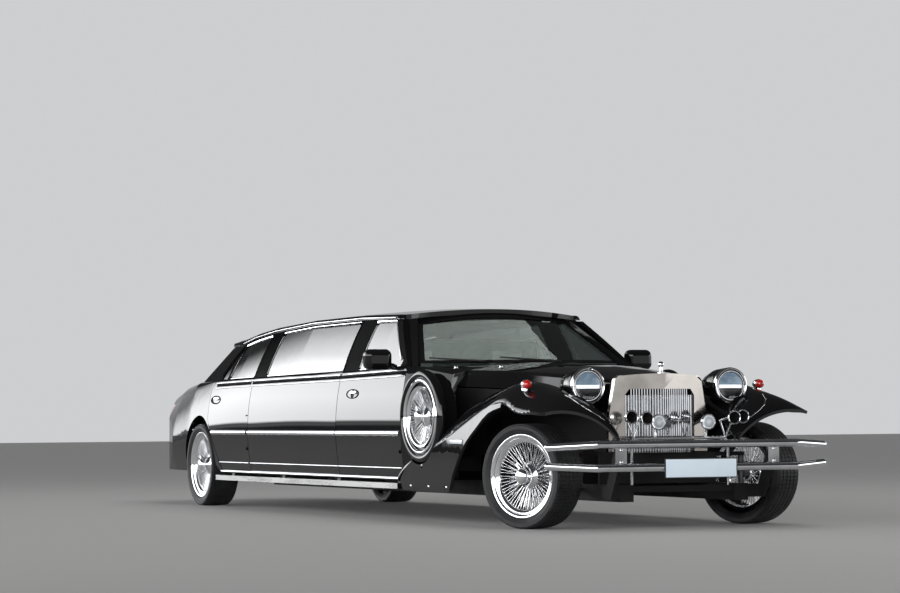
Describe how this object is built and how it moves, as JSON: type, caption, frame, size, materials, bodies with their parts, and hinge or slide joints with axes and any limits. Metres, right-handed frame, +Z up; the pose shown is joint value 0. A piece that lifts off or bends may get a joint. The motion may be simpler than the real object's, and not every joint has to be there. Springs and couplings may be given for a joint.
{
  "type": "stretch limousine",
  "caption": "Long-wheelbase limousine with separate wings, tall radiator shell, wire wheels, side-mounted spares, hinged doors, bonnet and boot lid, and steered front wheels.",
  "frame": {"origin": "on the ground under the middle of the vehicle's length and width", "axes": "+X points forward, +Y to the left, +Z up"},
  "size_m": [8.704, 2.3, 1.552],
  "materials": {
    "paint": "deep gloss black",
    "chrome": "polished",
    "glass": "clear with a green tint",
    "dark_glass": "dark tint",
    "lens": "clear lens",
    "red_lens": "clear red",
    "tyre": "worn rubber",
    "chassis": "satin black",
    "steel": "machined",
    "iron": "cast",
    "leather": "quilted pale leather",
    "trim": "black trim",
    "plate": "blank pale plate"
  },
  "bodies": {
    "body": {"chassis_frame": "chassis", "front_suspension": "steel", "rear_axle": "iron", "engine": "iron", "exhaust": "steel", "floor": "chassis", "rear_floor": "chassis", "roof": "paint", "side_panels": "paint", "tail_body": "paint", "rear_bumper": "paint", "cowl": "paint", "glass_centre": "dark_glass", "windscreen": "glass", "rear_window": "dark_glass", "engine_bay": "chassis", "radiator_shell": "chrome", "grille": "chrome", "ornament": "chrome", "front_wings": "paint", "running_boards": "paint", "headlamps": "paint", "headlamp_lenses": "lens", "marker_lamps": "red_lens", "spare_wheels": "paint", "front_bumper": "chrome", "number_plate": "plate", "lamp_bar": "chrome", "tail_lamps": "red_lens", "front_seats": "leather", "rear_seats": "leather", "partition": "leather", "dashboard": "trim", "steering_wheel": "trim"},
    "steer_left": {"knuckle_left": "iron"},
    "door_front_left": {"door_front_left": "paint", "glass_front_left": "dark_glass", "mirror_left": "paint"},
    "door_rear_left": {"door_rear_left": "paint", "glass_rear_left": "dark_glass"},
    "steer_right": {"knuckle_right": "iron"},
    "door_front_right": {"door_front_right": "paint", "glass_front_right": "dark_glass", "mirror_right": "paint"},
    "door_rear_right": {"door_rear_right": "paint", "glass_rear_right": "dark_glass"},
    "bonnet": {"bonnet": "paint"},
    "boot_lid": {"boot_lid": "paint"},
    "wheel_front_left": {"wheel_front_left": "chrome", "tyre_front_left": "tyre"},
    "wheel_front_right": {"wheel_front_right": "chrome", "tyre_front_right": "tyre"},
    "wheel_rear_left": {"wheel_rear_left": "chrome", "tyre_rear_left": "tyre"},
    "wheel_rear_right": {"wheel_rear_right": "chrome", "tyre_rear_right": "tyre"}
  },
  "joints": [
    {"name": "steer_left", "type": "hinge", "parent": "body", "child": "steer_left", "pos_m": [3.51, 0.75, 0.345], "axis": [0, 0, 1], "range_deg": [-58, 12]},
    {"name": "spin_front_left", "type": "hinge", "parent": "steer_left", "child": "wheel_front_left", "pos_m": [3.47874, 0.82364, 0.345], "axis": [-0.3907, 0.9205, 0], "continuous": true},
    {"name": "spin_rear_left", "type": "hinge", "parent": "body", "child": "wheel_rear_left", "pos_m": [-2.897, 0.832, 0.345], "axis": [0, 1, 0], "continuous": true},
    {"name": "steer_right", "type": "hinge", "parent": "body", "child": "steer_right", "pos_m": [3.51, -0.75, 0.345], "axis": [0, 0, 1], "range_deg": [-58, 12]},
    {"name": "spin_front_right", "type": "hinge", "parent": "steer_right", "child": "wheel_front_right", "pos_m": [3.54126, -0.82364, 0.345], "axis": [-0.3907, 0.9205, 0], "continuous": true},
    {"name": "spin_rear_right", "type": "hinge", "parent": "body", "child": "wheel_rear_right", "pos_m": [-2.897, -0.832, 0.345], "axis": [0, 1, 0], "continuous": true},
    {"name": "door_front_left", "type": "hinge", "parent": "body", "child": "door_front_left", "pos_m": [1.6175, 0.95895, 0.6], "axis": [0, 0, -1], "range_deg": [0, 65]},
    {"name": "door_rear_left", "type": "hinge", "parent": "body", "child": "door_rear_left", "pos_m": [-1.6225, 0.966, 0.6], "axis": [0, 0, -1], "range_deg": [0, 65]},
    {"name": "door_front_right", "type": "hinge", "parent": "body", "child": "door_front_right", "pos_m": [1.6175, -0.95895, 0.6], "axis": [0, 0, 1], "range_deg": [0, 65]},
    {"name": "door_rear_right", "type": "hinge", "parent": "body", "child": "door_rear_right", "pos_m": [-1.6225, -0.966, 0.6], "axis": [0, 0, 1], "range_deg": [0, 65]},
    {"name": "bonnet", "type": "hinge", "parent": "body", "child": "bonnet", "pos_m": [2.0065, 0, 1.112], "axis": [0, -1, 0], "range_deg": [0, 50]},
    {"name": "boot_lid", "type": "hinge", "parent": "body", "child": "boot_lid", "pos_m": [-3.574, 0, 1.05304], "axis": [0, 1, 0], "range_deg": [0, 70]}
  ],
  "couplings": [
    {"joint": "steer_right", "follows": "steer_left", "ratio": 1}
  ]
}
